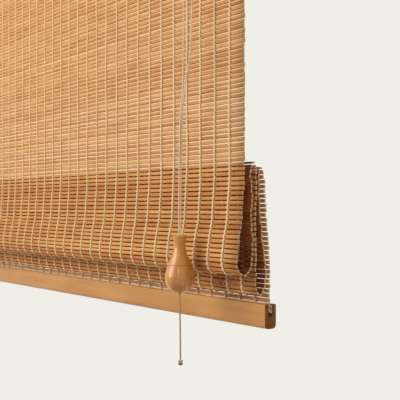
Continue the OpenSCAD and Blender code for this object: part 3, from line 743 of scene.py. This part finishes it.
def add_floor():
    """A pale floor below the blind, which fades into the wall's colour away from it."""
    low = frame_bounds[0][2] - FLOOR_DROP
    signs = ((-1, -1), (1, -1), (1, 1), (-1, 1))
    corners = np.array([(x * FLOOR_HALF, y * FLOOR_HALF, low) for x, y in signs])
    finish, g = material("floor")
    away = g.node("ShaderNodeVectorMath", {"operation": "LENGTH"}, {0: g.place((1, 1, 0))}, output="Value")
    plain = g.node("ShaderNodeBsdfDiffuse", {}, {"Color": srgb(216, 215, 210)})
    wall = g.node("ShaderNodeEmission", {}, {"Color": WALL_PALE, "Strength": 1})
    share = g.step(away, *FLOOR_FADE) * seen_directly(g)
    both = g.node("ShaderNodeMixShader", {}, {0: share, 1: plain, 2: wall})
    g.node("ShaderNodeOutputMaterial", {}, {"Surface": both})
    add_mesh("floor", corners, [(np.array([[0, 1, 2, 3]]), 0)], [finish])


def paint(names, finish):
    """Gives CAD nodes a finish."""
    for name in names:
        mesh = node[name].data
        mesh.materials.clear()
        mesh.materials.append(finish)


def paint_ends(name, finish):
    """Gives the two end faces of a rail a second finish."""
    mesh = node[name].data
    mesh.materials.append(finish)
    for face in mesh.polygons:
        face.material_index = 1 if abs(face.normal.x) > NEAR_AXIS else 0


bpy.context.scene.view_settings.view_transform = "Standard"
add_camera()

# Free cords, from the cord lock to the tassel and below it
cord_cotton = spun_cotton("cord_cotton", srgb(252, 232, 204), srgb(232, 206, 172), srgb(206, 176, 140))
for side, route in (("left", LEFT_PULL_ROUTE), ("right", RIGHT_PULL_ROUTE)):
    pull_cord, line = laid_cord(f"{side}_pull_line", cord_route(route), cord_cotton, PULL_CORD_D)
    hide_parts(f"{side}_pull_cord")
    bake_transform(pull_cord)
# The tail and its knot take a darker copy of the cords' cotton: painted shade
tail_cotton_in_shade = spun_cotton("tail_cotton_in_shade", srgb(200, 170, 134), srgb(170, 138, 102), srgb(144, 112, 78))
tail, line = laid_cord("tail_line", cord_route(TAIL_ROUTE), tail_cotton_in_shade)
tail_low, tail_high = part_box("tail_knot")
tail_knot = tied_knot("tail_overhand", [(tail_low + tail_high) / 2], *TAIL_KNOT, tail_cotton_in_shade)
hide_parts("tail_cord")
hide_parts("tail_knot")
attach(tail, "pull")
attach(tail_knot, "pull")

# Cords of the lift gear
for side, drop, wheel_x, hole_x in CORD_GEAR:
    lift_x = wheel_x - WHEEL_PATH_R
    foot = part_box(f"{side}_lift_cord")[0][2]
    drop_line = np.array([(lift_x, LIFT_Y, foot), (lift_x, LIFT_Y, -drop)])
    lift_line, _ = laid_cord(f"{side}_lift_line", drop_line, cord_cotton)
    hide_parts(f"{side}_lift_cord")
    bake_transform(lift_line)
    head_line, _ = laid_cord(f"{side}_head_line", head_route(drop, wheel_x, hole_x), cord_cotton)
    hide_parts(f"{side}_head_cord")
    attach(head_line, "head")
knot_low, knot_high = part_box("lift_knots")
knot_y, knot_z = (knot_low[1] + knot_high[1]) / 2, (knot_low[2] + knot_high[2]) / 2
tie_places = [(-LIFT_X, knot_y, knot_z), (LIFT_X, knot_y, knot_z)]
lift_tie = tied_knot("lift_ties", tie_places, *LIFT_KNOT, cord_cotton)
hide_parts("lift_knots")
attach(lift_tie, "stack")
knot_low, knot_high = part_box("tassel_knot")
tassel_tie = tied_knot("tassel_tie", [(knot_low + knot_high) / 2], *TASSEL_KNOT, cord_cotton)
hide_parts("tassel_knot")
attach(tassel_tie, "pull")

# Woven sheet: the front hangs from the head rail, its return stretches, the rest goes up with the
# bottom rail. The finishes stand in the order of the front, the rear (also painted shade), the pale
# painted glow, the sawn ends (partly painted glow) and the folds' front (painted warm shade)
bamboo = [
    bamboo_face("bamboo_front", 0.2, srgb(224, 172, 114), srgb(198, 138, 82), srgb(176, 108, 56),
                srgb(150, 84, 36)),
    # The rear's red-brown, darker than the front, is partly painted shade of the loops' insides, and also
    # paints shade on the slats' upper sides and lower front edges
    bamboo_face("bamboo_rear_and_shade", 0.05, srgb(169, 100, 50), srgb(147, 80, 37), srgb(123, 61, 24),
                srgb(101, 47, 16)),
    # Pale cream painted glow on the slats' lower sides and painted highlight on the hung slats' upper
    # front edge
    bamboo_face("bamboo_painted_glow", 0.05, srgb(255, 224, 176), srgb(250, 208, 152), srgb(240, 190, 130),
                srgb(226, 170, 110)),
    # Sawn ends, pale partly as painted light that the thin ends catch
    bamboo_end_and_glow(),
    # Warmer copy of the front finish for the slats in the folds: painted warm shade
    bamboo_face("bamboo_fold_warm_shade", 0.2, srgb(227, 169, 104), srgb(200, 134, 73), srgb(178, 104, 47),
                srgb(152, 80, 29)),
]
warp_cotton = spun_cotton("warp_cotton", srgb(255, 228, 182), srgb(244, 200, 144), srgb(226, 172, 116))
runs = slat_runs()
front_end = LOOP_RUN + FRONT_PASS
return_end = FRONT_FOLD_RUN - RETURN_STOP
front_runs = runs[runs < front_end]
return_runs = runs[(runs >= front_end) & (runs < return_end)]
rear_runs = runs[runs >= return_end]
head_fold = folded_end(0, along(SHEET, front_runs[:1])[0][1], -1)
foot_fold = folded_end(LAST_Y, along(SHEET, rear_runs[-1:])[0][1] - FOLD_SINK, 1)

front_slats = add_stretch("front_slats", front_runs, bamboo, seed=11, extra=head_fold)
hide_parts("front_panel")
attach(front_slats, "head")
rear_slats = add_stretch("rear_slats", rear_runs, bamboo, seed=12, extra=foot_fold)
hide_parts("rear_folds")
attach(rear_slats, "stack")
return_slats = add_stretch("return_slats", return_runs, bamboo, seed=13)
return_warps = add_warps("return_warps", return_runs, WARP_X, warp_cotton, seed=23)
for piece in (return_slats, return_warps):
    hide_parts("fold_return")
    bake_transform(piece)
middle_warp = WARP_COUNT // 2
for side, warps, seed in (("left", WARP_X[:middle_warp], 21), ("right", WARP_X[middle_warp:], 22)):
    front_warps = add_warps(f"front_twine_{side}", front_runs, warps, warp_cotton, seed)
    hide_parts("front_warps")
    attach(front_warps, "head")
    rear_warps = add_warps(f"rear_twine_{side}", rear_runs, warps, warp_cotton, seed + 10)
    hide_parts("rear_warps")
    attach(rear_warps, "stack")

# Finishes of the solids that show as they are
paint(["head_rail", "bottom_rail"], rail_face())
end_grain = rail_end()
paint_ends("head_rail", end_grain)
paint_ends("bottom_rail", end_grain)
paint(["tassel"], tassel_face())
steel = metal_face("zinc_steel", srgb(188, 190, 192), srgb(166, 168, 172), 0.32)
brass = metal_face("satin_brass", srgb(202, 166, 104), srgb(182, 144, 84), 0.36)
paint(["left_bracket", "right_bracket", "bracket_screws", "left_pulley_housing", "right_pulley_housing",
       "left_pulley_axle", "right_pulley_axle", "pulley_screws", "cord_lock_body", "cord_lock_guide",
       "cord_lock_pin", "cord_lock_screws"], steel)
paint(["cord_eyelets", "cord_lock_cam", "lift_rings"], brass)
paint(["left_pulley_wheel", "right_pulley_wheel"], nylon_face())

# Studio
add_lamp("key", (-0.33, -1.46, 0.37), size=1.4, watts=31.5, colour=(1, 0.97, 0.92))
add_lamp("side", (1.9, 0.25, -0.1), size=0.9, watts=6, colour=(1, 0.98, 0.95), mirrored=False)
add_lamp("front", (1.3, -1, 0.15), size=0.3, watts=1.2, colour=(1, 0.98, 0.95))
add_lamp("back", (-0.2, 1.4, -0.85), size=1, watts=32, colour=(1, 0.93, 0.82), mirrored=False)
add_world()
add_floor()
